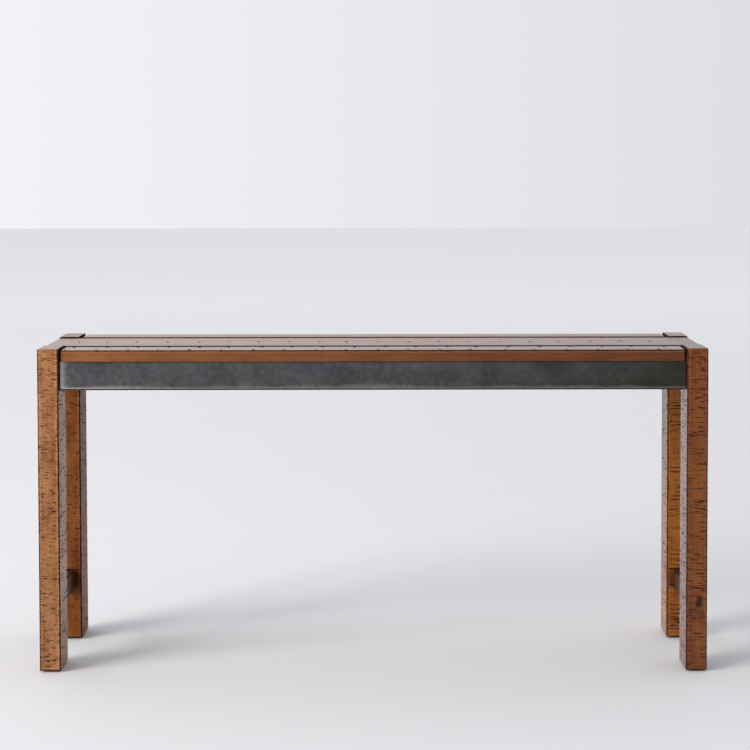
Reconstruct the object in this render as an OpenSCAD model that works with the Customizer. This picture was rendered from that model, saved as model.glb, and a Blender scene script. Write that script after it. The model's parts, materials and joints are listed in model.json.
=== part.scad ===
// Long counter-height timber table: four full-height legs, three planks with shadow gaps,
// steel-clad aprons, low end stretchers and screw levelling feet. Millimetres, +Z up.
// Origin: centre of the footprint, on the floor. Length runs along X, the front faces -Y.

/* [Overall] */
// Length over the legs, along X
table_l = 1880; // [1500:10:2300]
// Depth over the legs, along Y
table_d = 440; // [420:5:560]
// Height from the floor to the leg tops
table_h = 914; // [720:1:1060]

/* [Legs] */
// Leg width, along X
leg_w = 60; // [58:1:80]
// Leg depth, along Y
leg_d = 108; // [100:1:115]
// Height of the leg tops above the planks
leg_proud = 3; // [0:0.5:6]
// Radius of the eased arrises on legs, planks and stretchers
ease = 3; // [1:0.5:5]

/* [Top] */
// Thickness of the three planks
plank_t = 34; // [28:1:42]
// Setback of the outer planks' long edges behind the leg faces
plank_setback = 8; // [5:0.5:9]
// Shadow gap between planks, and between an outer plank's end and a leg
shadow_gap = 5; // [2:0.5:8]
// Fitting gap between the middle plank and the legs
plank_fit = 0.5; // [0.2:0.1:1]

/* [Aprons] */
// Height of the apron boards
apron_h = 80; // [76:1:110]
// Thickness of the apron boards
apron_t = 25; // [22:1:28]
// Thickness of the steel cladding
clad_t = 1.5; // [1:0.5:3]
// Setback of the cladding's face behind the leg faces
clad_setback = 9.5; // [9:0.5:12]
// Bare wood left showing below the cladding
clad_lip = 4; // [2:1:10]
// Gap between each end of a cladding strip and a leg
clad_fit = 1.5; // [0.5:0.5:3]

/* [Stretchers] */
// Height of the end stretchers
stretcher_h = 60; // [50:1:80]
// Thickness of the end stretchers
stretcher_t = 30; // [24:1:32]
// Floor to the underside of the end stretchers
stretcher_z = 150; // [100:5:250]
// Setback of the end stretchers behind the legs' outer faces
stretcher_setback = 8; // [6:1:12]

/* [Battens] */
// Width of a cross batten, along X
batten_w = 60; // [56:1:90]
// Height of a cross batten
batten_h = 40; // [36:1:46]
// Distance from a leg to the middle of the nearest cross batten
batten_inset = 220; // [130:5:240]

/* [Levelling feet] */
// Diameter of a foot pad
pad_d = 36; // [28:1:48]
// Thickness of a foot pad
pad_h = 3.5; // [3:0.5:6]
// Gap between a foot pad that is fully screwed in and its leg
seat_gap = 0.5; // [0.3:0.1:1]
// Diameter of the levelling stud
stud_d = 8; // [6:1:10]

/* [Hidden] */
$fn = 48;

half_l = table_l / 2;
half_d = table_d / 2;
leg_z = pad_h + seat_gap;
plank_top = table_h - leg_proud;
plank_z = plank_top - plank_t;
leg_x = half_l - leg_w / 2;
leg_y = half_d - leg_d / 2;
inner_x = half_l - leg_w;
inner_y = half_d - leg_d;

middle_half = inner_y - plank_fit;
outer_edge = half_d - plank_setback;
outer_inner = middle_half + shadow_gap;

apron_z = plank_z - apron_h;
apron_face = half_d - clad_setback - clad_t;
apron_back = apron_face - apron_t;
rail_face = half_l - clad_setback - clad_t;
rail_back = rail_face - apron_t;
board_ease = 1.5;
strip_h = apron_h - clad_lip;

batten_z = plank_z - batten_h;
batten_count = 4;
batten_reach = inner_x - batten_inset;
batten_x = [for (i = [0:batten_count - 1]) batten_reach * (2 * i / (batten_count - 1) - 1)];

hole_gap = 0.05;
run_gap = 0.05;
past = 1;
point_l = 5;

dowel_r = 5;
dowel_l = 50;
dowel_in = 15;
apron_dowel_z = [apron_z + dowel_in, plank_z - dowel_in];
stretcher_dowel_z = [stretcher_z + dowel_in, stretcher_z + stretcher_h - dowel_in];
stretcher_x = half_l - stretcher_setback - stretcher_t / 2;

// Wood screws: [length, shank radius, head radius, head height]
plank_screw = [batten_h + 15, 2.25, 4.5, 3];
plank_screw_sink = 5;
plank_screw_stagger = 12;
plank_screw_y = [outer_edge - 44, outer_inner + 16, middle_half - 36];
batten_screw = [70, 2.5, 5, 3.5];
batten_screw_off = 22;
batten_screw_z = batten_z + 14;
bracket_screw = [21, 2, 4, 2.5];
clip_screw = [16, 1.75, 3.5, 2];

bracket_l = 50;
bracket_t = 3;
bracket_h = 60;
bracket_z = apron_z + 8;
bracket_hole_z = [15, 45];
bracket_hole_in = 38;
lag_in = 26;

lag_r = 4;
lag_l = 45;
lag_head_w = 13;
lag_head_h = 5.3;
washer_r = 8;
washer_t = 1.6;

clip_leg = 22;
clip_t = 2;
clip_w = 18;
clip_y = 60;
clip_hole = 13;

insert_r = stud_d / 2 + 2;
insert_l = 20;
flange_r = insert_r + 3;
flange_t = 1.5;
stud_l = 34;
stud_head_r = stud_d;
stud_head_t = 2;
stud_well = 48;

timber = [0.45, 0.27, 0.16];
hidden_timber = [0.52, 0.34, 0.21];
gunmetal = [0.27, 0.27, 0.28];
zinc = [0.62, 0.63, 0.65];
beech = [0.76, 0.6, 0.42];
brass = [0.72, 0.56, 0.3];
black = [0.08, 0.08, 0.08];

// ---- shared shapes ----

// A rectangle with its corners rounded by true arcs
module eased(w, h, r) {
    square([w - 2 * r, h], center = true);
    square([w, h - 2 * r], center = true);
    for (x = [-1, 1], y = [-1, 1])
        translate([x * (w / 2 - r), y * (h / 2 - r)]) circle(r);
}

// Bars centred on X or Y, with their cross section centred on the given point
module bar_x(l, w, h, r, y, z)
    translate([0, y, z]) rotate([90, 0, 90]) linear_extrude(l, center = true) eased(w, h, r);

module bar_y(l, w, h, r, x, z)
    translate([x, 0, z]) rotate([90, 0, 0]) linear_extrude(l, center = true) eased(w, h, r);

// A countersunk wood screw with its head on z = 0, driven along +Z
module screw(s)
    rotate_extrude()
        polygon([[0, 0], [s[2], 0], [s[1], s[3]], [s[1], s[0] - point_l], [0.3, s[0]], [0, s[0]]]);

// The hole that such a screw sits in, with its head sunk below the surface
module screw_hole(s, sink = 0) {
    r = s[1] + hole_gap;
    head_r = s[2] + hole_gap;
    rotate_extrude()
        polygon([[0, -sink - past], [head_r, -sink - past], [head_r, 0], [r, s[3]],
                 [r, s[0] + past], [0, s[0] + past]]);
}

module dowel() cylinder(r = dowel_r, h = dowel_l, center = true);

module dowel_hole() cylinder(r = dowel_r + hole_gap, h = dowel_l + 2 * past, center = true);

// ---- where the joinery sits ----

// Children along X at each apron end
module at_apron_dowels()
    for (x = [-1, 1], y = [-1, 1], z = apron_dowel_z)
        translate([x * inner_x, y * (apron_face - apron_t / 2), z]) rotate([0, 90, 0]) children();

// Children along Y at each end rail's ends
module at_rail_dowels()
    for (x = [-1, 1], y = [-1, 1], z = apron_dowel_z)
        translate([x * (rail_face - apron_t / 2), y * inner_y, z]) rotate([90, 0, 0]) children();

// Children along Y at each stretcher's ends
module at_stretcher_dowels()
    for (x = [-1, 1], y = [-1, 1], z = stretcher_dowel_z)
        translate([x * stretcher_x, y * inner_y, z]) rotate([90, 0, 0]) children();

// Children pointing up through a batten into the planks
module at_plank_screws(xs = batten_x)
    for (cx = xs, y = [-1, 1], i = [0:2])
        translate([cx + y * (i == 1 ? -1 : 1) * plank_screw_stagger, y * plank_screw_y[i],
                   batten_z + plank_screw_sink]) children();

// Children pointing inwards through an apron board into a batten's end
module at_batten_screws(xs = batten_x)
    for (cx = xs, x = [-1, 1], y = [-1, 1])
        translate([cx + x * batten_screw_off, y * apron_face, batten_screw_z])
            rotate([y * 90, 0, 0]) children();

// Children in an apron corner's own frame: X along the apron and Y across the leg, both inwards
module in_corner(x, y)
    translate([x * inner_x, y * apron_back, bracket_z])
        mirror([x > 0 ? 1 : 0, 0, 0]) mirror([0, y > 0 ? 1 : 0, 0]) children();

module in_corners()
    for (x = [-1, 1], y = [-1, 1]) in_corner(x, y) children();

// In a corner's own frame, children pointing into the apron board
module at_bracket_screws()
    for (z = bracket_hole_z)
        translate([bracket_hole_in, bracket_t, z]) rotate([90, 0, 0]) children();

// In a corner's own frame, children pointing into the leg
module at_lags()
    for (z = bracket_hole_z) translate([bracket_t, lag_in, z]) rotate([0, -90, 0]) children();

// Children in each clip's own frame: X towards the table's middle, Z down from the plank
module at_clips()
    for (x = [-1, 1], y = [-1, 1])
        translate([x * rail_back, y * clip_y, plank_z]) mirror([x > 0 ? 1 : 0, 0, 0])
            mirror([0, 0, 1]) children();

// In a clip's own frame, children pointing up into the plank and out into the rail
module at_clip_screws() {
    translate([clip_hole, 0, clip_t]) mirror([0, 0, 1]) children();
    translate([clip_t, 0, clip_hole]) rotate([0, -90, 0]) children();
}

// ---- timber ----

module leg(x, y) color(timber) difference() {
    translate([x * leg_x, y * leg_y, leg_z])
        linear_extrude(table_h - leg_z) eased(leg_w, leg_d, ease);
    at_apron_dowels() dowel_hole();
    at_rail_dowels() dowel_hole();
    at_stretcher_dowels() dowel_hole();
    in_corner(x, y) at_lags() translate([0, 0, -past])
        cylinder(r = lag_r + hole_gap, h = lag_l + 2 * past);
    translate([x * leg_x, y * leg_y, leg_z - past]) {
        cylinder(r = flange_r + hole_gap, h = past + flange_t + hole_gap);
        cylinder(r = insert_r + hole_gap, h = past + insert_l + hole_gap);
        cylinder(r = stud_d / 2 + past, h = past + stud_well);
    }
}

module front_left_leg() leg(-1, -1);
module front_right_leg() leg(1, -1);
module rear_left_leg() leg(-1, 1);
module rear_right_leg() leg(1, 1);

module outer_plank(y) color(timber) difference() {
    bar_x(2 * (inner_x - shadow_gap), outer_edge - outer_inner, plank_t, ease,
          y * (outer_edge + outer_inner) / 2, plank_z + plank_t / 2);
    at_plank_screws() screw_hole(plank_screw);
}

module front_plank() outer_plank(-1);
module rear_plank() outer_plank(1);

module middle_plank() color(timber) difference() {
    bar_x(table_l, 2 * middle_half, plank_t, ease, 0, plank_z + plank_t / 2);
    at_plank_screws() screw_hole(plank_screw);
    at_clips() at_clip_screws() screw_hole(clip_screw);
}

module apron(y) color(timber) difference() {
    bar_x(2 * inner_x, apron_t, apron_h, board_ease,
          y * (apron_face - apron_t / 2), apron_z + apron_h / 2);
    at_apron_dowels() dowel_hole();
    at_batten_screws() screw_hole(batten_screw);
    in_corners() at_bracket_screws() screw_hole(bracket_screw);
}

module front_apron() apron(-1);
module rear_apron() apron(1);

module end_rail(x) color(timber) difference() {
    bar_y(2 * inner_y, apron_t, apron_h, board_ease,
          x * (rail_face - apron_t / 2), apron_z + apron_h / 2);
    at_rail_dowels() dowel_hole();
    at_clips() at_clip_screws() screw_hole(clip_screw);
}

module left_end_rail() end_rail(-1);
module right_end_rail() end_rail(1);

module stretcher(x) color(timber) difference() {
    bar_y(2 * inner_y, stretcher_t, stretcher_h, ease,
          x * stretcher_x, stretcher_z + stretcher_h / 2);
    at_stretcher_dowels() dowel_hole();
}

module left_stretcher() stretcher(-1);
module right_stretcher() stretcher(1);

module batten(i) color(hidden_timber) difference() {
    bar_y(2 * apron_back, batten_w, batten_h, board_ease, batten_x[i], batten_z + batten_h / 2);
    at_plank_screws([batten_x[i]]) screw_hole(plank_screw, plank_screw_sink);
    at_batten_screws([batten_x[i]]) screw_hole(batten_screw);
}

module left_batten() batten(0);
module inner_left_batten() batten(1);
module inner_right_batten() batten(2);
module right_batten() batten(3);

// ---- steel cladding, bonded to the apron boards and end rails ----

module long_cladding(y) color(gunmetal)
    translate([0, y * (apron_face + clad_t / 2), plank_z - strip_h / 2])
        cube([2 * (inner_x - clad_fit), clad_t, strip_h], center = true);

module front_cladding() long_cladding(-1);
module rear_cladding() long_cladding(1);

module end_cladding(x) color(gunmetal)
    translate([x * (rail_face + clad_t / 2), 0, plank_z - strip_h / 2])
        cube([clad_t, 2 * (inner_y - clad_fit), strip_h], center = true);

module left_cladding() end_cladding(-1);
module right_cladding() end_cladding(1);

// ---- hardware ----

// An angle bracket between an apron's back and a leg's inner face
module bracket(x, y) color(zinc) in_corner(x, y) difference() {
    union() {
        cube([bracket_l, bracket_t, bracket_h]);
        cube([bracket_t, bracket_l, bracket_h]);
    }
    at_bracket_screws() screw_hole(bracket_screw);
    at_lags() translate([0, 0, -past]) cylinder(r = lag_r + 0.5, h = bracket_t + 2 * past);
}

module front_left_bracket() bracket(-1, -1);
module front_right_bracket() bracket(1, -1);
module rear_left_bracket() bracket(-1, 1);
module rear_right_bracket() bracket(1, 1);

module apron_dowels() color(beech) at_apron_dowels() dowel();
module end_rail_dowels() color(beech) at_rail_dowels() dowel();
module stretcher_dowels() color(beech) at_stretcher_dowels() dowel();

module plank_screws() color(zinc) at_plank_screws() screw(plank_screw);
module batten_screws() color(zinc) at_batten_screws() screw(batten_screw);
module bracket_screws() color(zinc) in_corners() at_bracket_screws() screw(bracket_screw);

// Hexagon-head lag bolts, seated on the washers
module lag_bolts() color(zinc) in_corners() at_lags() {
    translate([0, 0, -washer_t - lag_head_h])
        cylinder(d = lag_head_w / cos(30), h = lag_head_h, $fn = 6);
    translate([0, 0, -washer_t - past]) cylinder(r = lag_r, h = past + washer_t + lag_l);
}

module lag_washers() color(zinc) in_corners() at_lags() difference() {
    translate([0, 0, -washer_t]) cylinder(r = washer_r, h = washer_t);
    translate([0, 0, -washer_t - past]) cylinder(r = lag_r + 0.3, h = washer_t + 2 * past);
}

// Small angle clips that hold the middle plank down on the end rails
module end_clips() color(zinc) at_clips() difference() {
    translate([0, -clip_w / 2, 0]) union() {
        cube([clip_leg, clip_w, clip_t]);
        cube([clip_t, clip_w, clip_leg]);
    }
    at_clip_screws() screw_hole(clip_screw);
}

module end_clip_screws() color(zinc) at_clips() at_clip_screws() screw(clip_screw);

// ---- levelling feet: a fixed insert, and a stud that turns in it with its pad ----

module foot_insert(x, y) color(brass) translate([x * leg_x, y * leg_y, leg_z]) difference() {
    union() {
        cylinder(r = flange_r, h = flange_t);
        cylinder(r = insert_r, h = insert_l);
    }
    translate([0, 0, -past]) cylinder(r = stud_d / 2 + run_gap, h = insert_l + 2 * past);
}

module foot_stud(x, y) color(zinc) translate([x * leg_x, y * leg_y, pad_h]) {
    translate([0, 0, -stud_head_t]) cylinder(r = stud_head_r, h = stud_head_t);
    translate([0, 0, -past]) cylinder(d = stud_d, h = past + stud_l);
}

module foot_pad(x, y) color(black) translate([x * leg_x, y * leg_y, 0]) difference() {
    cylinder(d = pad_d, h = pad_h);
    translate([0, 0, pad_h - stud_head_t])
        cylinder(r = stud_head_r + hole_gap, h = stud_head_t + past);
}

module front_left_insert() foot_insert(-1, -1);
module front_right_insert() foot_insert(1, -1);
module rear_left_insert() foot_insert(-1, 1);
module rear_right_insert() foot_insert(1, 1);

module front_left_stud() foot_stud(-1, -1);
module front_right_stud() foot_stud(1, -1);
module rear_left_stud() foot_stud(-1, 1);
module rear_right_stud() foot_stud(1, 1);

module front_left_pad() foot_pad(-1, -1);
module front_right_pad() foot_pad(1, -1);
module rear_left_pad() foot_pad(-1, 1);
module rear_right_pad() foot_pad(1, 1);

// ---- one line per node ----

front_left_leg();
front_right_leg();
rear_left_leg();
rear_right_leg();
front_plank();
middle_plank();
rear_plank();
front_apron();
rear_apron();
left_end_rail();
right_end_rail();
front_cladding();
rear_cladding();
left_cladding();
right_cladding();
left_stretcher();
right_stretcher();
left_batten();
inner_left_batten();
inner_right_batten();
right_batten();
front_left_bracket();
front_right_bracket();
rear_left_bracket();
rear_right_bracket();
apron_dowels();
end_rail_dowels();
stretcher_dowels();
plank_screws();
batten_screws();
bracket_screws();
lag_bolts();
lag_washers();
end_clips();
end_clip_screws();
front_left_insert();
front_right_insert();
rear_left_insert();
rear_right_insert();
front_left_stud();
front_right_stud();
rear_left_stud();
rear_right_stud();
front_left_pad();
front_right_pad();
rear_left_pad();
rear_right_pad();
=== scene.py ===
"""Counter-height timber table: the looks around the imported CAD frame.

Each timber and steel-sheet piece is rebuilt as a dense mesh in its CAD piece's own box, with
worn arrises, dents and saw nicks cut inwards, and a well in each leg for its levelling foot.
The hardware keeps its CAD mesh and gets materials. Everything is in metres, in the CAD's
frame.
"""

import json
import math

import bmesh
import bpy
import numpy as np
from mathutils import Euler, Matrix, Vector


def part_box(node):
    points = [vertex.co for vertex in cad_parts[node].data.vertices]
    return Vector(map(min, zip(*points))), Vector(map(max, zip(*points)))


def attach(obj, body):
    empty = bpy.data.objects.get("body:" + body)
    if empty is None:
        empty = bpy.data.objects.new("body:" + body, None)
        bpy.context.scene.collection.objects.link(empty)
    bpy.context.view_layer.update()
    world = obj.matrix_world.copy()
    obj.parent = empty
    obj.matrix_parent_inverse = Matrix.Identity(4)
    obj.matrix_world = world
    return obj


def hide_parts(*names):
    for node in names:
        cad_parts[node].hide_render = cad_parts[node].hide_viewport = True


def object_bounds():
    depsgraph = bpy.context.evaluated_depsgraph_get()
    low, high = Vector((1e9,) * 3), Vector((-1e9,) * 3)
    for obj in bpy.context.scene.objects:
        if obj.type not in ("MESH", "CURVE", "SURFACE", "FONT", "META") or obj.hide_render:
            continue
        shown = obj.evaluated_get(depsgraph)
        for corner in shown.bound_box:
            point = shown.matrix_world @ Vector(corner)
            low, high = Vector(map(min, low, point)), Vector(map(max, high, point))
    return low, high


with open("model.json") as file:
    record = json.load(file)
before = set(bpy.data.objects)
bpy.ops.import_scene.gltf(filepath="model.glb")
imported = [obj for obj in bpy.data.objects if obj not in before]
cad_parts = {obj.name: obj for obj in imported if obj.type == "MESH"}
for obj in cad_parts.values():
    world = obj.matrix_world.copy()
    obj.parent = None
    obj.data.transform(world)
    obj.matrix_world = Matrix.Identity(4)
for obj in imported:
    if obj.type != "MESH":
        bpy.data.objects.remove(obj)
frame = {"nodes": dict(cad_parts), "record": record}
CAD_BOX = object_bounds()

MM = 0.001
X, Y, Z = 0, 1, 2
TABLE = "table"
# Farther from an arris than any mark reaches, and longer than the table
FAR = 1.0
WHOLE_LENGTH = 2.0


# ---------------------------------------------------------------- seeded noise


def lattice(ix, iy, iz, seed):
    """A repeatable value in -1..1 for each cell corner."""
    h = (ix * 374761393 + iy * 668265263 + iz * 1440662683 + seed * 1274126177) & 0xFFFFFFFF
    h = ((h ^ (h >> 13)) * 1274126177) & 0xFFFFFFFF
    return ((h ^ (h >> 16)) & 0xFFFF) / 32767.5 - 1.0


def noise(points, period, seed):
    """Smooth value noise in -1..1 at each point, with a period in metres along each axis."""
    p = points / np.asarray(period, dtype=float)
    cell = np.floor(p).astype(np.int64)
    f = p - cell
    f = f * f * (3 - 2 * f)
    total = np.zeros(len(p))
    for corner in np.ndindex(2, 2, 2):
        weight = np.prod(np.where(corner, f, 1 - f), axis=1)
        total += weight * lattice(*(cell + corner).T, seed)
    return total


# ---------------------------------------------------------------- dense boxes


def grid_line(low, high, step, rim):
    """Positions from low to high: close together within rim of each end, then step apart."""
    ease_in = rim * np.array([0, 0.09, 0.19, 0.32, 0.49, 0.72])
    count = max(2, round((high - low - 2 * rim) / step) + 1)
    middle = np.linspace(low + rim, high - rim, count)
    return np.concatenate([low + ease_in, middle, high - ease_in[::-1]])


def box_skin(lines):
    """The vertices and quads of a box's skin, on the grid that three grid lines make."""
    shape = [len(line) for line in lines]
    skin = np.ones(shape, bool)
    skin[1:-1, 1:-1, 1:-1] = False
    index = np.where(skin, np.cumsum(skin.ravel()).reshape(shape) - 1, -1)
    points = np.stack([line[i] for line, i in zip(lines, np.nonzero(skin), strict=True)], axis=1)
    quads = []
    for axis in (X, Y, Z):
        for side in (0, -1):
            plane = np.take(index, side, axis=axis)
            if axis == Y:
                plane = plane.T
            ring = [plane[:-1, :-1], plane[1:, :-1], plane[1:, 1:], plane[:-1, 1:]]
            if side == 0:
                ring.reverse()
            quads.append(np.stack([corner.ravel() for corner in ring], axis=1))
    return points, np.concatenate(quads)


def rounded(points, low, high, radius):
    """The points moved onto a box with rounded edges, and the outward direction at each."""
    core = np.clip(points, low + radius[:, None], high - radius[:, None])
    out = points - core
    out /= np.linalg.norm(out, axis=1)[:, None]
    return core + out * radius[:, None], out


def edge_distance(points, low, high, ends):
    """How far along its face each skin point lies from the nearest arris that counts: each one
    for "both", each but the top face's for "bottom", and the top face's long ones for "top"."""
    gaps = np.minimum(points - low, high - points)
    if ends == "bottom":
        gaps[:, Z] = points[:, Z] - low[Z]
    if ends == "top":
        gaps[:, Z] = high[Z] - points[:, Z]
        gaps[:, X] = FAR
    return np.sort(gaps, axis=1)[:, 1]


def mesh_object(name, points, quads, layers):
    """A smooth mesh object with one float attribute for each layer."""
    mesh = bpy.data.meshes.new(name)
    mesh.from_pydata(points.tolist(), [], quads.tolist())
    mesh.polygons.foreach_set("use_smooth", np.ones(len(quads), bool))
    for layer, values in layers.items():
        attribute = mesh.attributes.new(layer, "FLOAT", "POINT")
        attribute.data.foreach_set("value", values.astype(np.float32))
    mesh.update()
    piece = bpy.data.objects.new(name, mesh)
    bpy.context.scene.collection.objects.link(piece)
    return piece


# ---------------------------------------------------------------- saw nicks


def nick(face, side, at, across, half, width, depth, stain_and_shade, wrap, tilt=0.0):
    """One cut across the grain: its face's axis and side, its place along and across the grain,
    its half length, width and depth, how dark it is stained (painted shade where it is a patch
    with no cut), how far it wraps round an arris, and its lean."""
    return dict(face=face, side=side, at=at, across=across, half=half, width=width, depth=depth,
                stain_and_shade=stain_and_shade, wrap=wrap, tilt=tilt)


def carve(points, low, high, grain, nicks):
    """How deep each point is cut, and how dark its staining and painted shade make it, from 0 to
    1.
    """
    depth = np.zeros(len(points))
    stain_and_shade = np.zeros(len(points))
    order = np.argsort(points[:, grain])
    along = points[order, grain]
    for cut in nicks:
        across_axis = 3 - grain - cut["face"]
        reach = 3 * cut["width"] + abs(cut["tilt"]) * cut["half"]
        start, stop = np.searchsorted(along, [cut["at"] - reach, cut["at"] + reach])
        near = order[start:stop]
        skin = (high if cut["side"] > 0 else low)[cut["face"]]
        v = points[near, across_axis] - cut["across"]
        u = points[near, grain] - cut["at"] - cut["tilt"] * v
        w = np.abs(points[near, cut["face"]] - skin)
        shape = (
            np.exp(-((u / cut["width"]) ** 4))
            * np.clip(1 - (v / cut["half"]) ** 4, 0, 1)
            * np.clip(1 - w / cut["wrap"], 0, 1)
        )
        depth[near] = np.maximum(depth[near], shape * cut["depth"])
        stain_and_shade[near] = np.maximum(stain_and_shade[near], shape * cut["stain_and_shade"])
    return depth, stain_and_shade


def scattered_nicks(rng, low, high, grain, per_metre, longest, faces=None, stain_and_shade=(0.45, 1.0)):
    """Random short cuts across the grain on each long face, or on the ones named, more of them
    near an arris. A wide face gets more of them, and longer ones."""
    cuts = []
    for face in [axis for axis in (X, Y, Z) if axis != grain]:
        across_axis = 3 - grain - face
        middle = (low[across_axis] + high[across_axis]) / 2
        spread = (high[across_axis] - low[across_axis]) / 2
        for side in (-1, 1):
            if faces and (face, side) not in faces:
                continue
            wide = spread / (30 * MM) if spread < 60 * MM else 1.0
            for _ in range(round(per_metre * wide * (high[grain] - low[grain]))):
                half = longest * math.sqrt(wide) * (0.22 + 0.78 * rng.random() ** 1.6)
                cuts.append(nick(
                    face, side,
                    at=rng.uniform(low[grain], high[grain]),
                    across=middle + spread * math.sin(rng.uniform(-1.45, 1.45)),
                    half=half,
                    width=rng.uniform(0.7, 1.4) * MM,
                    depth=rng.uniform(0.25, 0.8) * MM,
                    tilt=rng.normal(0, 0.05),
                    stain_and_shade=rng.uniform(*stain_and_shade) * (0.7 + 0.3 * half / longest),
                    wrap=rng.uniform(2.5, 6) * MM,
                ))
    return cuts


def arris_ticks(rng, low, high, per_metre):
    """Short dark cuts that notch a leg's four long arrises, on both faces of each."""
    cuts = []
    for face, across_axis in ((X, Y), (Y, X)):
        for side in (-1, 1):
            for arris in (low[across_axis], high[across_axis]):
                for _ in range(round(per_metre * (high[Z] - low[Z]))):
                    cuts.append(nick(
                        face, side,
                        at=rng.uniform(low[Z], high[Z]),
                        across=arris,
                        half=(5 + 7 * rng.random() ** 2) * MM,
                        width=rng.uniform(0.8, 1.5) * MM,
                        depth=rng.uniform(0.3, 0.9) * MM,
                        stain_and_shade=rng.uniform(0.7, 1.0),
                        wrap=rng.uniform(3, 6) * MM,
                    ))
    return cuts


def long_cuts(rng, low, high, face, count, halves, reach, group, width=(0.8, 1.4)):
    """Long dark cuts on both sides of a leg, in groups of up to group, a few millimetres apart.
    halves is the range of their half lengths and width that of their widths, in millimetres.
    reach gives how far from the face's middle, as shares of its half width, their centres
    lie."""
    cuts = []
    across_axis = 3 - Z - face
    middle = (low[across_axis] + high[across_axis]) / 2
    spread = (high[across_axis] - low[across_axis]) / 2
    for side in (-1, 1):
        for _ in range(count):
            at = rng.uniform(low[Z] + 10 * MM, high[Z] - 10 * MM)
            for _ in range(rng.integers(1, group + 1)):
                cuts.append(nick(
                    face, side, at=at,
                    across=middle + spread * rng.uniform(*reach),
                    half=rng.uniform(*halves) * MM,
                    width=rng.uniform(*width) * MM,
                    depth=rng.uniform(0.5, 1.1) * MM,
                    tilt=rng.normal(0, 0.03),
                    stain_and_shade=rng.uniform(0.6, 1.0),
                    wrap=5 * MM,
                ))
                at += rng.uniform(7, 15) * MM
    return cuts


# ---------------------------------------------------------------- timber pieces


def bore(piece, low, high):
    """Cuts a round upright hole in a piece, as wide as the box from low to high and as tall."""
    radius = (high[X] - low[X]) / 2
    shape = bmesh.new()
    bmesh.ops.create_cone(shape, cap_ends=True, segments=64, radius1=radius, radius2=radius,
                          depth=high[Z] - low[Z])
    middle = [(low[axis] + high[axis]) / 2 for axis in (X, Y, Z)]
    bmesh.ops.translate(shape, verts=shape.verts, vec=middle)
    drill_mesh = bpy.data.meshes.new("drill")
    shape.to_mesh(drill_mesh)
    shape.free()
    drill = bpy.data.objects.new("drill", drill_mesh)
    bpy.context.scene.collection.objects.link(drill)
    cut = piece.modifiers.new("bore", "BOOLEAN")
    cut.operation = "DIFFERENCE"
    cut.solver = "EXACT"
    cut.object = drill
    whole = piece.data
    graph = bpy.context.evaluated_depsgraph_get()
    piece.data = bpy.data.meshes.new_from_object(piece.evaluated_get(graph))
    piece.modifiers.remove(cut)
    bpy.data.objects.remove(drill)
    bpy.data.meshes.remove(drill_mesh)
    bpy.data.meshes.remove(whole)


def timber(node, grain, seed, material, nicks=(), step=(2.0, 4.0), ease=(2.0, 4.2), wave=0.35,
           ends="both", sunk=0.0, shade=(0.0, 0.0), hole=None):
    """The worn timber piece that stands for a CAD node, with its grain along the given axis.
    step is the grid along and across the grain, ease the range of the arrises' radius, and
    wave how deep the faces undulate, all in millimetres. ends says which arrises are
    burnished. The top is sanded down by sunk. shade is how much darker the X faces get towards
    the top, and how much darker all of it gets towards the bottom. hole is the box of a bore."""
    low, high = (np.array(corner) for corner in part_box(node))
    high[Z] -= sunk
    steps = [step[0] * MM if axis == grain else step[1] * MM for axis in (X, Y, Z)]
    rim = 7 * MM
    lines = [grid_line(low[a], high[a], steps[a], rim) for a in (X, Y, Z)]
    flat, quads = box_skin(lines)
    stretch = [0.11 if axis == grain else 0.035 for axis in (X, Y, Z)]
    chatter = [0.016 if axis == grain else 0.03 for axis in (X, Y, Z)]
    mean, swing = (ease[1] + ease[0]) / 2 * MM, (ease[1] - ease[0]) / 2 * MM
    wear = 0.65 * noise(flat, stretch, seed) + 0.35 * noise(flat, chatter, seed + 1)
    placed, out = rounded(flat, low, high, mean + swing * wear)
    depth, stain_and_shade = carve(flat, low, high, grain, nicks)
    swell = 0.5 + 0.5 * noise(flat, [2.2 * s for s in stretch], seed + 2)
    placed = placed - out * (depth + wave * MM * swell)[:, None]
    from_end = np.minimum(flat[:, grain] - low[grain], high[grain] - flat[:, grain])
    drop = (high[Z] - flat[:, Z]) / (high[Z] - low[Z])
    # The stain layer also holds painted shade from the dark patches beside the joints; the shade
    # layer is painted shade
    layers = {"stain_and_shade": stain_and_shade, "edge": edge_distance(flat, low, high, ends),
              "end": np.clip(1 - from_end / (1.5 * MM), 0, 1),
              "shade": shade[0] * (1 - drop) * (np.abs(out[:, X]) > 0.7) + shade[1] * drop}
    piece = mesh_object(f"{node}_timber", placed, quads, layers)
    piece.data.materials.append(material)
    if hole is not None:
        bore(piece, *hole)
    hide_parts(node)
    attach(piece, TABLE)
    return piece


# ---------------------------------------------------------------- material graphs


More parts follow.
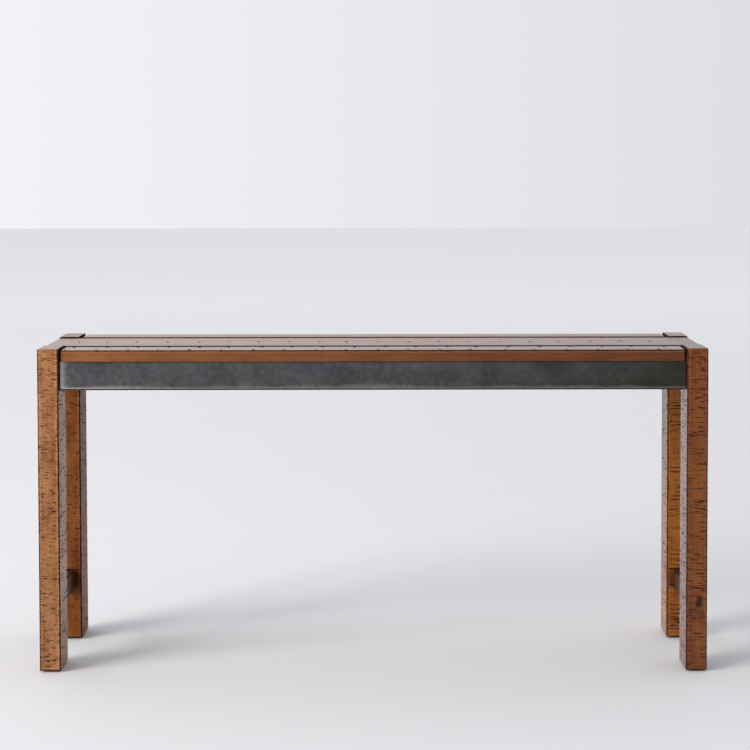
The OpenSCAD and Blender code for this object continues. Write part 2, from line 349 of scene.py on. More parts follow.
class Graph:
    """A material's node tree, with a short call for each kind of node."""

    def __init__(self, name):
        self.material = bpy.data.materials.new(name)
        self.material.use_nodes = True
        self.tree = self.material.node_tree
        self.shader = self.tree.nodes["Principled BSDF"]

    def feed(self, socket, value):
        if isinstance(value, bpy.types.NodeSocket):
            self.tree.links.new(value, socket)
        elif value is not None:
            socket.default_value = value

    def add(self, kind, inputs=(), **settings):
        made = self.tree.nodes.new(kind)
        for key, value in settings.items():
            setattr(made, key, value)
        for key, value in dict(inputs).items():
            self.feed(made.inputs[key], value)
        return made

    def place(self):
        return self.add("ShaderNodeTexCoord").outputs["Object"]

    def layer(self, name):
        return self.add("ShaderNodeAttribute", attribute_name=name).outputs["Fac"]

    def moved(self, vector, offset=(0, 0, 0), turn=(0, 0, 0), scale=(1, 1, 1)):
        made = self.add("ShaderNodeMapping", {"Vector": vector})
        made.inputs["Location"].default_value = offset
        made.inputs["Rotation"].default_value = turn
        made.inputs["Scale"].default_value = scale
        return made.outputs[0]

    def noise(self, vector, scale, detail=3.0, rough=0.55, distortion=0.0):
        inputs = {"Vector": vector, "Scale": scale, "Detail": detail, "Roughness": rough,
                  "Distortion": distortion}
        return self.add("ShaderNodeTexNoise", inputs).outputs["Fac"]

    def rings(self, vector, scale, distortion, detail):
        inputs = {"Vector": vector, "Scale": scale, "Distortion": distortion, "Detail": detail,
                  "Detail Scale": 1.2, "Detail Roughness": 0.55}
        made = self.add("ShaderNodeTexWave", inputs, wave_type="RINGS", rings_direction="Z",
                        wave_profile="SAW")
        return made.outputs["Fac"]

    def span(self, value, low, high, to_low=0.0, to_high=1.0):
        inputs = {"Value": value, "From Min": low, "From Max": high, "To Min": to_low,
                  "To Max": to_high}
        return self.add("ShaderNodeMapRange", inputs, clamp=True).outputs["Result"]

    def sum(self, a, b, kind="ADD"):
        made = self.add("ShaderNodeMath", operation=kind)
        self.feed(made.inputs[0], a)
        self.feed(made.inputs[1], b)
        return made.outputs[0]

    def mix(self, share, a, b, kind="MIX"):
        made = self.add("ShaderNodeMix", data_type="RGBA", blend_type=kind)
        self.feed(made.inputs[0], share)
        self.feed(made.inputs[6], a)
        self.feed(made.inputs[7], b)
        return made.outputs[2]

    def ramp(self, value, stops):
        made = self.add("ShaderNodeValToRGB", {"Fac": value})
        ramp = made.color_ramp
        while len(ramp.elements) < len(stops):
            ramp.elements.new(0.5)
        for element, (at, colour) in zip(ramp.elements, stops, strict=True):
            element.position = at
            element.color = (*colour, 1)
        return made.outputs["Color"]

    def bump(self, height, distance, strength):
        inputs = {"Height": height, "Distance": distance, "Strength": strength}
        return self.add("ShaderNodeBump", inputs).outputs["Normal"]

    def finish(self, colour, roughness, normal, metallic=0.0, coat=0.0, level=0.5):
        values = {"Base Color": colour, "Roughness": roughness, "Normal": normal,
                  "Metallic": metallic, "Coat Weight": coat, "Coat Roughness": 0.24,
                  "Coat IOR": 1.25, "Specular IOR Level": level}
        for key, value in values.items():
            self.feed(self.shader.inputs[key], value)
        return self.material


def tinted(colour, by):
    return tuple(min(1.0, c * b) for c, b in zip(colour, by, strict=True))


GRAIN_TURN = {X: (0, -math.pi / 2, 0), Y: (math.pi / 2, 0, 0), Z: (0, 0, 0)}
WOOD_DARK = (0.070, 0.018, 0.0042)
WOOD_MID = (0.205, 0.066, 0.0150)
WOOD_LIGHT = (0.350, 0.145, 0.0400)
# Near black, for the glazing in the nicks and for painted shade
GLAZE_AND_SHADE = (0.012, 0.008, 0.008)
# Dark burnished arrises; beside the gaps between planks this is also painted shade
BURNISH_AND_SHADE = (0.018, 0.0045, 0.002)
END_GRAIN = (0.9, 1.2, 2.0)


def wood(name, grain, seed, tint, chatter, figure=1.0, burnish_and_shade=(2.0, 4.2, 0.9), coat=0.25,
         level=0.3, right_end_shade=None, dash=0.10, contrast=1.0):
    """Worn brown timber under a satin coat: growth rings, fibres, streaks, saw chatter across
    the grain, glazing in the nicks, painted shade beside the joints and from the shade layer,
    dark burnished arrises that are also painted shade beside the gaps between planks, a painted
    highlight just inside them, and dark end grain. burnish gives the distance from an arris where
    it is full, the distance where it ends, and its share. fade is painted shade: what is left of
    each colour at the right end. dash is how short the chatter marks are, and contrast how
    strongly the grain shows."""
    g = Graph(name)
    rng = np.random.default_rng(seed)
    offset = tuple(rng.uniform(-0.6, 0.6, 2)) + (rng.uniform(-3, 3),)
    place = g.moved(g.moved(g.place(), turn=GRAIN_TURN[grain]), offset=offset)
    ring = g.rings(g.moved(place, scale=(1, 1, 0.05)), 7.0, 3.0, 2.5)
    fibre = g.noise(g.moved(place, scale=(1, 1, 0.018)), 520, 4, 0.62)
    streak = g.noise(g.moved(place, scale=(1, 1, 0.035)), 130, 4, 0.6)
    blotch = g.noise(g.moved(place, scale=(1, 1, 0.5)), 22, 4, 0.55)
    pores = g.noise(g.moved(place, scale=(1, 1, 0.035)), 800, 1, 0.3)
    cross = g.noise(g.moved(place, scale=(dash, dash, 1)), 280, 3, 0.6)
    patch = g.noise(place, 24, 2, 0.5)

    band = g.noise(g.moved(place, scale=(1, 1, 0.12)), 12, 1, 0.4)
    lines = g.sum(g.sum(ring, 0.12 * figure, "MULTIPLY"), g.sum(streak, 0.52 * figure, "MULTIPLY"))
    clouds = g.sum(g.sum(band, 0.30, "MULTIPLY"), g.sum(blotch, 0.44, "MULTIPLY"))
    tone = g.sum(g.sum(fibre, 0.30, "MULTIPLY"), g.sum(lines, clouds))
    tone = g.sum(tone, -0.04 - 0.32 * (figure - 1))
    tone = g.sum(g.sum(tone, contrast, "MULTIPLY"), 0.8 * (1 - contrast))
    dark, mid, light = (tinted(c, tint) for c in (WOOD_DARK, WOOD_MID, WOOD_LIGHT))
    colour = g.ramp(tone, [(0.56, dark), (0.76, mid), (1.0, light)])
    # Painted shade: each colour darker towards the right end
    if right_end_shade:
        right = g.add("ShaderNodeSeparateXYZ", {"Vector": g.place()}).outputs["X"]
        right = g.span(right, -0.9, 0.9)
        colour = g.mix(right, colour, (*right_end_shade, 1), "MULTIPLY")
    # Painted shade from the shade layer
    colour = g.mix(g.layer("shade"), colour, (*GLAZE_AND_SHADE, 1))
    colour = g.mix(g.span(pores, 0.64, 0.74, 0, 0.5), colour, (*dark, 1))
    pale = g.span(cross, 0.44, 0.34, 0, 0.35 * chatter)
    colour = g.mix(pale, colour, (*tinted(light, (1.15, 1.15, 1.1)), 1))
    marks = g.sum(g.span(cross, 0.56, 0.67), g.span(patch, 0.42, 0.60), "MULTIPLY")
    marks = g.sum(marks, chatter, "MULTIPLY")
    colour = g.mix(marks, colour, (*tinted(dark, (0.45, 0.5, 0.9)), 1))
    ragged = g.sum(g.layer("stain_and_shade"), g.span(fibre, 0.3, 0.7, 0.7, 1.2), "MULTIPLY")
    end_grain = g.layer("end")
    colour = g.mix(g.sum(end_grain, 0.5, "MULTIPLY"), colour, (*tinted(dark, END_GRAIN), 1))
    # Glazing in the nicks, and painted shade beside the joints and in the gaps
    colour = g.mix(g.span(ragged, 0.10, 0.50, 0, 0.98), colour, (*GLAZE_AND_SHADE, 1))
    wander = g.span(g.noise(g.moved(place, scale=(1, 1, 0.3)), 150, 3, 0.6), 0.3, 0.7,
                    -1.2 * MM, 1.2 * MM)
    to_edge = g.sum(g.layer("edge"), wander)
    full, end, share = burnish_and_shade
    # A painted highlight in a band just inside the burnished arris, along with rubbing
    rub_and_highlight = g.sum(g.span(to_edge, end * MM, (end + 1.6) * MM),
                g.span(to_edge, (end + 5.5) * MM, (end + 2) * MM), "MULTIPLY")
    colour = g.mix(g.sum(rub_and_highlight, 0.30, "MULTIPLY"), colour, (*tinted(light, (1.15, 1.1, 1.0)), 1))
    # Dark burnished arrises, which beside the gaps between planks are also painted shade
    colour = g.mix(g.span(to_edge, end * MM, full * MM, 0, share), colour, (*BURNISH_AND_SHADE, 1))

    satin = g.sum(g.sum(blotch, streak), g.sum(marks, 0.5, "MULTIPLY"))
    glazed_and_shaded = g.span(ragged, 0.10, 0.60)
    roughness = g.sum(g.span(satin, 0.75, 1.45, 0.32, 0.62), g.span(glazed_and_shaded, 0, 1, 0, 0.5))
    sealed = g.sum(coat, g.span(end_grain, 0, 1, 0, 0.8 - coat)) if coat else 0.0
    if coat:
        sealed = g.sum(sealed, g.span(glazed_and_shaded, 0, 1, 1, 0.05), "MULTIPLY")
    relief = g.sum(g.sum(fibre, 0.5, "MULTIPLY"), g.sum(streak, 0.5, "MULTIPLY"))
    relief = g.sum(relief, g.sum(marks, 1.2, "MULTIPLY"), "SUBTRACT")
    normal = g.bump(relief, 0.16 * MM, 0.55)
    return g.finish(colour, roughness, normal, coat=sealed, level=level)


# ---------------------------------------------------------------- the timber

# Each leg's look. nicks is how many it has a metre on a face, longest the half length of the
# longest, and bold its long cuts on the front and back. chatter is how strong its saw chatter
# is, dash how short the chatter marks are, coat and level its gloss, and shade how much darker
# the top of its sides and its foot are.
# Part of the front legs' tints is painted light: the front left leg is paler and greyer, a painted
# sheen from the light on the left, and the front right leg darker
LEGS = {
    "front_left_leg": dict(
        seed=11, tint=(1.66, 1.96, 2.90), nicks=260, longest=8.5 * MM, chatter=0.9, dash=0.20,
        coat=0.38, level=0.12, shade=(0.25, 0.24),
        bold=dict(count=36, halves=(4, 9), reach=(-0.8, 0.8), group=2),
    ),
    "front_right_leg": dict(
        seed=23, tint=(0.89, 0.66, 0.33), nicks=180, longest=15 * MM, chatter=1.1, dash=0.11,
        coat=1.0, level=0.15, shade=(0.35, 0.25),
        bold=dict(count=26, halves=(6, 20), reach=(-0.1, 0.75), group=2),
    ),
    "rear_left_leg": dict(
        seed=37, tint=(0.95, 0.90, 1.00), nicks=150, longest=9 * MM, chatter=0.7, dash=0.14,
        coat=0.1, level=0.06, shade=(0.50, 0.06),
        bold=dict(count=16, halves=(5, 11), reach=(-0.4, 0.8), group=1),
    ),
    "rear_right_leg": dict(
        seed=41, tint=(1.48, 1.30, 0.64), nicks=150, longest=12 * MM, chatter=0.9, dash=0.10,
        coat=0.8, level=0.15, shade=(0.50, 0.15),
        bold=dict(count=22, halves=(12, 30), reach=(-0.4, 0.4), group=3),
    ),
}

# The long cuts on the sides of every leg
SIDE_CUTS = dict(count=62, halves=(8, 24), reach=(-0.8, 0.8), group=2, width=(0.8, 1.2))

# Dark smudges on a leg's front, in millimetres: height above the floor, place across from the
# leg's middle, half width, half height, and darkness
SMUDGES = {
    "front_right_leg": (
        (198, 7, 11, 20, 0.47),
        (158, 12, 11, 20, 0.30),
        (170, -20, 7, 5, 0.34),
        (235, -20, 6, 3, 0.30),
        (262, 18, 10, 7, 0.20),
        (385, -17, 6, 5, 0.22),
    ),
    "front_left_leg": (
        (884, -11, 7, 3, 0.40),
        (118, -15, 8, 4, 0.22),
    ),
}

# The well up into each leg for its levelling foot: the gap round the insert's flange, how far
# below the leg the drill starts, and the depth
WELL_GAP = 0.1 * MM
WELL_START = 2 * MM
WELL_DEPTH = 48 * MM


def shade_and_glaze_patch(face, side, at, across, half, width, wrap, stain_and_shade=1.0, depth=0.0):
    """A patch of dark colour on a face, painted shade beside the joints and dark glazing on an
    arris, as wide as a nick can be, with no cut of its own.
    """
    return nick(face, side, at=at, across=across, half=half, width=width, depth=depth,
                stain_and_shade=stain_and_shade, wrap=wrap)


def joint_shade_and_glaze(low, high):
    """Painted shade on a leg, laid as dark glazing: in the gap beside the planks and the steel,
    along its top, and as its stretcher's shadow round the stretcher's end, with a fine cut above
    it."""
    middle = (low + high) / 2
    inward = 1 if low[X] < 0 else -1
    inner = high[X] if inward > 0 else low[X]
    depth_wise = 1 if low[Y] < 0 else -1
    outer = low[Y] if depth_wise > 0 else high[Y]
    # Painted shade in the gap beside the planks and the apron's steel, dark from this far behind
    # the front
    first = 0 if inward > 0 else 15 * MM
    gap_low, gap_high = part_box("front_apron")[0][Z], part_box("front_plank")[1][Z]
    beside = shade_and_glaze_patch(X, inward, at=(gap_low + gap_high) / 2 + 2 * MM,
                   across=outer + depth_wise * (first + 19 * MM),
                   half=19 * MM, width=58 * MM, wrap=3.5 * MM)
    # Painted shade in the gaps along the leg's top
    along_top = [
        shade_and_glaze_patch(X, inward, high[Z], middle[Y], half=62 * MM, width=24 * MM, wrap=5.5 * MM),
        shade_and_glaze_patch(Y, depth_wise, high[Z], middle[X], half=36 * MM, width=6 * MM, wrap=4 * MM,
              stain_and_shade=0.9),
    ]
    stretcher_low, stretcher_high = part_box("left_stretcher")
    stretcher_z = (stretcher_low[Z] + stretcher_high[Z]) / 2
    across = inner - inward * 28 * MM
    # The stretcher's shadow painted on the leg, and a fine cut along the stretcher's top
    at_stretcher = [
        shade_and_glaze_patch(Y, depth_wise, stretcher_z + 2 * MM, across, half=34 * MM, width=32 * MM,
              wrap=3 * MM, stain_and_shade=0.40),
        shade_and_glaze_patch(Y, depth_wise, stretcher_high[Z] + 1.5 * MM, across, half=30 * MM,
              width=1.8 * MM, wrap=3 * MM, depth=0.3 * MM),
    ]
    return [beside, *along_top, *at_stretcher]


def leg(node, seed, tint, nicks, longest, chatter, dash, coat, level, shade, bold):
    """A rough-sawn leg with nicks, notched arrises, long cuts, glaze and smudges."""
    low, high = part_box(node)
    rng = np.random.default_rng(seed)
    cuts = scattered_nicks(rng, low, high, Z, nicks, longest)
    cuts += arris_ticks(rng, low, high, 55)
    cuts += long_cuts(rng, low, high, Y, **bold)
    cuts += long_cuts(rng, low, high, X, **SIDE_CUTS)
    cuts += joint_shade_and_glaze(low, high)
    for height, offset, half, size, smudge in SMUDGES.get(node, ()):
        across = (low[X] + high[X]) / 2 + offset * MM
        cuts.append(nick(Y, -1, at=height * MM, across=across, half=half * MM, width=size * MM,
                         depth=0.0, tilt=0.3, stain_and_shade=smudge, wrap=3 * MM))
    look = wood(f"{node}_wood", Z, seed, tint, chatter, burnish_and_shade=(2.4, 4.6, 0.94),
                coat=coat, level=level, figure=0.32, dash=dash)
    insert_low, insert_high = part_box(node.replace("leg", "insert"))
    well = (
        [insert_low[X] - WELL_GAP, insert_low[Y] - WELL_GAP, low[Z] - WELL_START],
        [insert_high[X] + WELL_GAP, insert_high[Y] + WELL_GAP, low[Z] + WELL_DEPTH],
    )
    timber(node, Z, seed, look, cuts, step=(1.0, 4.0), ends="bottom", shade=shade, hole=well)


for node, leg_look in LEGS.items():
    leg(node, **leg_look)

# The rows of saw nicks along the planks: how far apart the nicks are, and how far they lean
ROW_PITCH = 88 * MM
ROW_LEAN = -0.2
PLANK_TINT = (1.04, 1.0, 1.0)


def row_nicks(rng, low, high, side_y, phase, half, width, depth, stain_and_shade):
    """A row of cuts along a plank's top at an even pitch, centred on side_y."""
    first = math.ceil((low[X] - phase) / ROW_PITCH)
    last = math.floor((high[X] - phase) / ROW_PITCH)
    return [
        nick(Z, 1, at=phase + i * ROW_PITCH + rng.normal(0, 2.5 * MM), across=side_y,
             half=half * rng.uniform(0.7, 1.2), width=width * rng.uniform(0.85, 1.2),
             depth=depth * rng.uniform(0.6, 1.2), tilt=ROW_LEAN + rng.normal(0, 0.04),
             stain_and_shade=stain_and_shade * rng.uniform(0.6, 1.1), wrap=5 * MM)
        for i in range(first, last + 1)
    ]


def plank(node, seed, rows, glazed_and_shaded, sunk=0.0, ease=(3.4, 4.6), burnish_and_shade=(3.4, 6.0, 0.96),
          coat=0.8, right_end_shade=(0.66, 0.56, 0.36)):
    """A plank, sanded down by sunk, with nicks on its top and dark along the arrises listed:
    painted shade beside the gaps between planks, and glazing along a front arris. Each gives its
    place, and how far the dark reaches over the top and down the side. Its broad burnished arrises
    are also painted shade beside the gaps."""
    low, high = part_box(node)
    rng = np.random.default_rng(seed)
    cuts = scattered_nicks(rng, low, high, X, 26, 9 * MM, faces={(Z, 1)}, stain_and_shade=(0.15, 0.5))
    for row in rows:
        cuts += row_nicks(rng, low, high, **row)
    # Painted shade along the arrises beside the gaps, and glazing along the front one
    for arris, half, wrap in glazed_and_shaded:
        cuts.append(shade_and_glaze_patch(Z, 1, (low[X] + high[X]) / 2, arris, half, WHOLE_LENGTH, wrap))
    look = wood(f"{node}_wood", X, seed, PLANK_TINT, 0.1, figure=0.4, burnish_and_shade=burnish_and_shade,
                coat=coat, level=0.2, right_end_shade=right_end_shade, contrast=0.65)
    timber(node, X, seed, look, cuts, step=(2.4, 4.5), ease=ease, wave=0.2, ends="top",
           sunk=sunk)


front_y, middle_y, rear_y = (
    [corner[Y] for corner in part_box(node)]
    for node in ("front_plank", "middle_plank", "rear_plank")
)
plank(
    "front_plank", 53,
    rows=[
        dict(side_y=front_y[1] - 8 * MM, phase=34 * MM, half=20 * MM, width=4.0 * MM,
             depth=1.4 * MM, stain_and_shade=1.0),
        dict(side_y=front_y[0] + 9 * MM, phase=16 * MM, half=19 * MM, width=3.4 * MM,
             depth=0.9 * MM, stain_and_shade=1.0),
    ],
    glazed_and_shaded=[(front_y[1], 13.5 * MM, 9 * MM), (front_y[0], 4 * MM, 3.6 * MM)],
    sunk=1.1 * MM, ease=(1.8, 2.8), burnish_and_shade=(1.5, 3.6, 0.97), coat=1.0,
    right_end_shade=(0.47, 0.33, 0.11),
)
plank(
    "middle_plank", 67,
    rows=[
        dict(side_y=middle_y[0] + 5 * MM, phase=34 * MM, half=13 * MM, width=3.4 * MM,
             depth=1.0 * MM, stain_and_shade=1.0),
        dict(side_y=0.0, phase=16.6 * MM, half=18 * MM, width=3.0 * MM, depth=0.7 * MM,
             stain_and_shade=0.85),
        dict(side_y=middle_y[1] - 4 * MM, phase=60 * MM, half=12 * MM, width=2.4 * MM,
             depth=0.8 * MM, stain_and_shade=0.8),
    ],
    glazed_and_shaded=[(middle_y[0], 13.5 * MM, 9 * MM), (middle_y[1], 15 * MM, 9 * MM)],
    sunk=0.5 * MM,
)
plank(
    "rear_plank", 79,
    rows=[
        dict(side_y=rear_y[0] + 3 * MM, phase=16 * MM, half=10 * MM, width=2.4 * MM,
             depth=1.0 * MM, stain_and_shade=0.8),
    ],
    glazed_and_shaded=[(rear_y[0], 15 * MM, 9 * MM)],
)

for node, seed, grain in (
    ("front_apron", 83, X),
    ("rear_apron", 89, X),
    ("left_end_rail", 97, Y),
    ("right_end_rail", 101, Y),
):
    # The dark tint is dark staining and painted shade: only a thin lip of each apron shows, below
    # its steel and in its shadow
    board = wood(f"{node}_wood", grain, seed, (0.32, 0.32, 0.4), 0.2)
    timber(node, grain, seed, board, step=(6.0, 6.0), ease=(1.0, 2.2))

for node, seed in (("left_stretcher", 103), ("right_stretcher", 107)):
    low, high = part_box(node)
    cuts = scattered_nicks(np.random.default_rng(seed), low, high, Y, 60, 8 * MM)
    # The dark tint is painted shade: the stretchers sit low between the legs, in the table's shade
    look = wood(f"{node}_wood", Y, seed, (0.26, 0.30, 0.42), 0.4, coat=0.0, level=0.05)
    timber(node, Y, seed, look, cuts)

for number, node in enumerate(
    ("left_batten", "inner_left_batten", "inner_right_batten", "right_batten")
):
    seed = 113 + 4 * number
    board = wood(f"{node}_wood", Y, seed, (1.3, 1.8, 3.2), 0.1, burnish_and_shade=(0.5, 1.5, 0.2),
                 coat=0.05)
    timber(node, Y, seed, board, step=(5.0, 5.0), ease=(1.0, 2.0))


# ---------------------------------------------------------------- steel cladding


def blackened_steel(name, seed):
    """Blackened steel sheet: soft clouds, faint streaks, fine scratches, bare rubbed metal with a
    painted highlight where the rub layer says, and darkening, partly oxide and partly painted
    shade, where the patina layer says."""
    g = Graph(name)
    rng = np.random.default_rng(seed)
    place = g.moved(g.place(), offset=tuple(rng.uniform(-5, 5, 3)))
    cloud = g.noise(place, 9, 3, 0.5, 0.4)
    mottle = g.noise(place, 60, 4, 0.65)
    brushed = g.noise(g.moved(place, scale=(0.03, 0.03, 1)), 900, 3, 0.6)
    speck = g.noise(place, 700, 2, 0.5)
    tone = g.sum(g.sum(cloud, 0.5, "MULTIPLY"), g.sum(mottle, 0.5, "MULTIPLY"))
    colour = g.ramp(tone, [(0.36, (0.066, 0.066, 0.069)), (0.5, (0.105, 0.105, 0.109)),
                           (0.66, (0.158, 0.158, 0.164))])
    bloom = g.noise(g.moved(place, offset=(3, 3, 3)), 14, 3, 0.6)
    colour = g.mix(g.span(bloom, 0.5, 0.7, 0, 0.4), colour, (0.092, 0.080, 0.120, 1))
    # Oxide, with painted shade: darker towards the far end and along the top edge
    colour = g.mix(g.layer("patina_and_shade"), colour, (0.0265, 0.0295, 0.0135, 1))
    rub_and_highlight = g.sum(g.layer("rub_and_highlight"), g.span(mottle, 0.3, 0.7, 0.7, 1.2), "MULTIPLY")
    # Bare rubbed metal, with a painted highlight
    colour = g.mix(g.span(rub_and_highlight, 0.05, 1.0), colour, (0.42, 0.42, 0.43, 1))
    colour = g.mix(g.span(speck, 0.68, 0.78, 0, 0.35), colour, (0.03, 0.028, 0.026, 1))
    roughness = g.span(g.sum(mottle, g.sum(brushed, 0.3, "MULTIPLY")), 0.4, 0.9, 0.42, 0.60)
    relief = g.sum(g.sum(mottle, 0.6, "MULTIPLY"), g.sum(brushed, 0.2, "MULTIPLY"))
    return g.finish(colour, roughness, g.bump(relief, 0.12 * MM, 0.35), metallic=0.85)


def cladding(node, along, seed):
    """The sheet that stands for a cladding node: slightly buckled, with a rubbed lower edge that
    carries a painted highlight, strongest near its first end, rubbed ends with a painted highlight
    at the first end, and painted shade that darkens it towards its far end and along its top edge."""
    low, high = (np.array(corner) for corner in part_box(node))
    inset, edge_radius, rim = 1.8 * MM, 0.45 * MM, 0.6 * MM
    low[along] += inset
    high[along] -= inset
    steps = [1.0 * MM] * 3
    steps[along] = 5 * MM
    steps[Z] = 2 * MM
    lines = [grid_line(low[a], high[a], steps[a], rim) for a in (X, Y, Z)]
    flat, quads = box_skin(lines)
    placed, out = rounded(flat, low, high, np.full(len(flat), edge_radius))
    buckle = 0.5 + 0.5 * noise(flat, [0.16, 0.16, 0.06], seed)
    placed = placed - out * (0.3 * MM * buckle)[:, None]
    rise = flat[:, Z] - low[Z]
    ripple = noise(flat, [0.055, 0.055, 1.0], seed + 1)
    ripple += noise(flat, [0.21, 0.21, 1.0], seed + 2)
    band = (7.5 + 3.0 * ripple) * MM
    lower = np.exp(-((rise / np.maximum(band, 2.5 * MM)) ** 2))
    lower *= 0.75 + 0.35 * noise(flat, [0.3, 0.3, 1.0], seed + 5)
    from_start = flat[:, along] - low[along]
    # A painted highlight at the first end, with rubbed metal
    end = 0.95 * np.exp(-((from_start / (13 * MM)) ** 2))
    from_stop = high[along] - flat[:, along]
    far_end = 0.08 * np.exp(-((from_stop / (8 * MM)) ** 2))
    # Painted highlight: the lower band is brighter near the first end, where the light falls
    lower *= 0.62 + 0.68 * np.exp(-((from_start / (260 * MM)) ** 2))
    rub_and_highlight = np.clip(0.9 * lower + end + far_end, 0, 1)
    # Painted shade: darker towards the far end
    run = from_start / (high[along] - low[along])
    clouds = 0.12 * noise(flat, [0.07, 0.07, 0.035], seed + 3)
    clouds += 0.08 * noise(flat, [0.2, 0.2, 0.1], seed + 4)
    # A dark line along the top edge: painted shade under the plank, with a dark arris
    top_line = 0.8 * np.clip(1 - (high[Z] - flat[:, Z]) / (4 * MM), 0, 1)
    patina_and_shade = np.clip(0.05 + 0.35 * run + 0.38 * run**4 + clouds + top_line, 0, 0.85)
    piece = mesh_object(f"{node}_sheet", placed, quads, {"rub_and_highlight": rub_and_highlight, "patina_and_shade": patina_and_shade})
    piece.data.materials.append(blackened_steel(f"{node}_steel", seed))
    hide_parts(node)
    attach(piece, TABLE)


cladding("front_cladding", X, 211)
cladding("rear_cladding", X, 223)
cladding("left_cladding", Y, 227)
cladding("right_cladding", Y, 229)


# ---------------------------------------------------------------- hardware


def plated(name, seed, light, dark):
    """Plated or turned metal with dull clouds and fine scratches."""
    g = Graph(name)
    place = g.moved(g.place(), offset=(seed, 0, 0))
    cloud = g.noise(place, 90, 4, 0.6)
    scratch = g.noise(g.moved(place, scale=(0.08, 1, 1)), 1500, 3, 0.6)
    tone = g.sum(g.sum(cloud, 0.7, "MULTIPLY"), g.sum(scratch, 0.3, "MULTIPLY"))
    colour = g.ramp(tone, [(0.35, dark), (0.65, light)])
    return g.finish(colour, g.span(tone, 0.3, 0.7, 0.22, 0.45), g.bump(scratch, 0.05 * MM, 0.3),
                    metallic=1.0)


def moulded(name):
    """Matt black plastic with a fine moulded grain."""
    g = Graph(name)
    grain = g.noise(g.place(), 1400, 3, 0.6)
    colour = g.ramp(grain, [(0.3, (0.012, 0.012, 0.012)), (0.7, (0.026, 0.026, 0.027))])
    return g.finish(colour, g.span(grain, 0.3, 0.7, 0.5, 0.7), g.bump(grain, 0.08 * MM, 0.4))


def beech(name):
    """Plain beech with short flecks along the dowel."""
    g = Graph(name)
    fleck = g.noise(g.moved(g.place(), scale=(1, 0.2, 1)), 700, 3, 0.6)
    colour = g.ramp(fleck, [(0.3, (0.38, 0.23, 0.12)), (0.7, (0.58, 0.40, 0.24))])
    return g.finish(colour, g.span(fleck, 0.3, 0.7, 0.5, 0.65), g.bump(fleck, 0.1 * MM, 0.4))


HARDWARE = {
    "bracket_steel": plated("bracket_zinc", 3, (0.50, 0.50, 0.52), (0.34, 0.34, 0.35)),
    "zinc_steel": plated("screw_zinc", 5, (0.62, 0.62, 0.64), (0.42, 0.42, 0.44)),
    "insert_brass": plated("insert_brass_metal", 7, (0.70, 0.52, 0.22), (0.50, 0.35, 0.13)),
    "pad_plastic": moulded("pad_black"),
    "dowel_wood": beech("dowel_beech"),
}

for part in frame["record"]["subparts"]:
    if part["material_slot"] in HARDWARE:
        for holder in frame["nodes"][part["node"]].material_slots:
            holder.material = HARDWARE[part["material_slot"]]


# ---------------------------------------------------------------- floor, light, camera


def floor_material():
    """Matt pale floor, painted paler far behind the table against the light's fall-off and the
    table's shadow.
    """
    g = Graph("floor_pale")
    cloud = g.noise(g.place(), 1.6, 3, 0.5)
    behind = g.add("ShaderNodeSeparateXYZ", {"Vector": g.place()}).outputs["Y"]
    # Painted light: paler far behind the table, with faint clouds of floor tone
    paler_far_floor = g.sum(g.span(behind, 0.3, 12), g.span(cloud, 0.3, 0.7, -0.02, 0.02))
    colour = g.ramp(paler_far_floor, [(0.0, (0.77, 0.77, 0.785)), (0.22, (0.80, 0.80, 0.81)),
                           (1.0, (0.96, 0.96, 0.97))])
    relief = g.bump(g.noise(g.place(), 120, 2), 0.2 * MM, 0.1)
    return g.finish(colour, 0.8, relief, level=0.12)


def pale_floor(half=30.0, cells=8):
    """A wide flat floor under the table's feet."""
    line = np.linspace(-half, half, cells + 1)
    points = np.array([[x, y, CAD_BOX[0][Z]] for x in line for y in line])
    row = cells + 1
    quads = np.array([[i * row + j, (i + 1) * row + j, (i + 1) * row + j + 1, i * row + j + 1]
                      for i in range(cells) for j in range(cells)])
    floor = mesh_object("floor", points, quads, {})
    floor.data.materials.append(floor_material())


def softbox(name, at, aim, size, watts, tint):
    """A square area light that faces a point."""
    lamp = bpy.data.lights.new(name, "AREA")
    lamp.shape = "SQUARE"
    lamp.size = size
    lamp.energy = watts
    lamp.color = tint
    light = bpy.data.objects.new(name, lamp)
    light.location = at
    light.rotation_euler = (Vector(aim) - Vector(at)).to_track_quat("-Z", "Y").to_euler()
    bpy.context.scene.collection.objects.link(light)


# The sky's brightness rises along each axis: how much, and where from and to
SKY = (("Y", 0.58, -1, 0.5), ("Z", 0.24, 0.2, 1), ("X", 0.30, 0.6, -0.6))
SKY_BASE = 0.10
SKY_TINT = (0.97, 0.98, 1.02, 1)


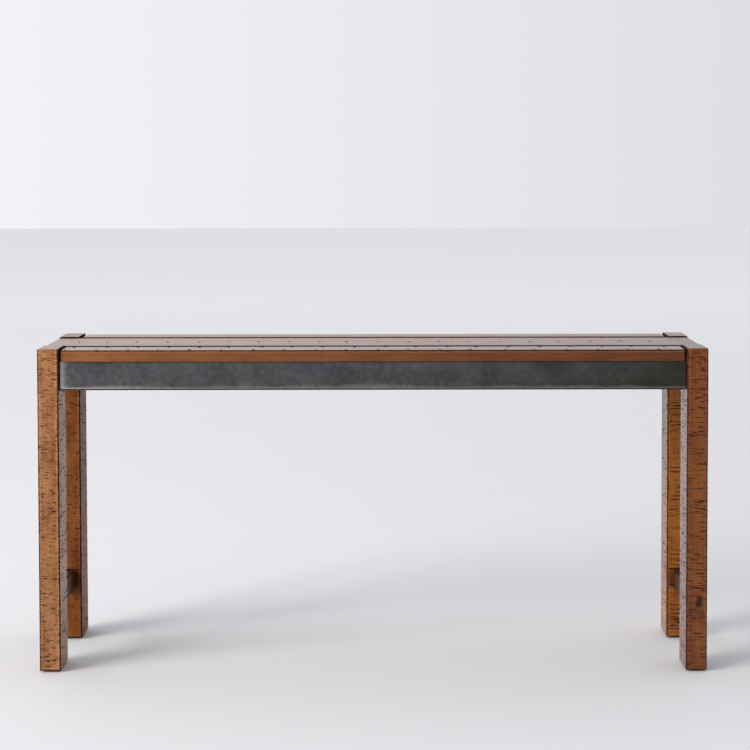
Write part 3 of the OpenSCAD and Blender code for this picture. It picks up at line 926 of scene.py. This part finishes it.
def studio():
    """A pale sky, brighter above, behind the table and to the left than behind the camera, with
    one large soft light well to the left and in front."""
    world = bpy.data.worlds.new("studio")
    world.use_nodes = True
    tree = world.node_tree
    way = tree.nodes.new("ShaderNodeTexCoord").outputs["Generated"]
    background = tree.nodes["Background"]
    total = None
    for axis, weight, start, stop in SKY:
        split = tree.nodes.new("ShaderNodeSeparateXYZ")
        ramp = tree.nodes.new("ShaderNodeMapRange")
        ramp.interpolation_type = "SMOOTHSTEP"
        for name, value in (("From Min", start), ("From Max", stop), ("To Min", 0),
                            ("To Max", weight)):
            ramp.inputs[name].default_value = value
        tree.links.new(way, split.inputs[0])
        tree.links.new(split.outputs[axis], ramp.inputs["Value"])
        add = tree.nodes.new("ShaderNodeMath")
        add.inputs[1].default_value = SKY_BASE
        tree.links.new(ramp.outputs["Result"], add.inputs[0])
        if total is not None:
            tree.links.new(total, add.inputs[1])
        total = add.outputs[0]
    tree.links.new(total, background.inputs["Strength"])
    background.inputs["Color"].default_value = SKY_TINT
    bpy.context.scene.world = world
    softbox("key", at=(-9.8, -5.8, 5.0), aim=(-0.4, 0, 0.5), size=5.8, watts=1250,
            tint=(1.0, 0.985, 0.96))
    bpy.context.scene.view_settings.view_transform = "Standard"


# The camera stands in front of the table, a little to the right, and looks slightly down. The
# distances are in metres and the angles in radians.
CAMERA_AHEAD = 4.722
CAMERA_RIGHT = 0.0416
CAMERA_UP = 1.4471
CAMERA_PITCH = 0.0395
CAMERA_ROLL = -0.0016
LENS = 81.36
SHIFT = (-0.0165, -0.2)


def camera():
    """The camera. Its frame is shifted down as well as tilted, so that the legs stay nearly
    upright in the picture."""
    lens = bpy.data.cameras.new("camera")
    lens.lens = LENS
    lens.shift_x, lens.shift_y = SHIFT
    lens.clip_end = 200
    view = bpy.data.objects.new("camera", lens)
    tilt = Euler((math.pi / 2 - CAMERA_PITCH, 0, 0)).to_matrix()
    turn = tilt @ Matrix.Rotation(CAMERA_ROLL, 3, "Z")
    place = Vector((CAMERA_RIGHT, CAD_BOX[0][Y] - CAMERA_AHEAD, CAMERA_UP))
    view.matrix_world = Matrix.Translation(place) @ turn.to_4x4()
    bpy.context.scene.collection.objects.link(view)
    bpy.context.scene.camera = view


pale_floor()
studio()
camera()
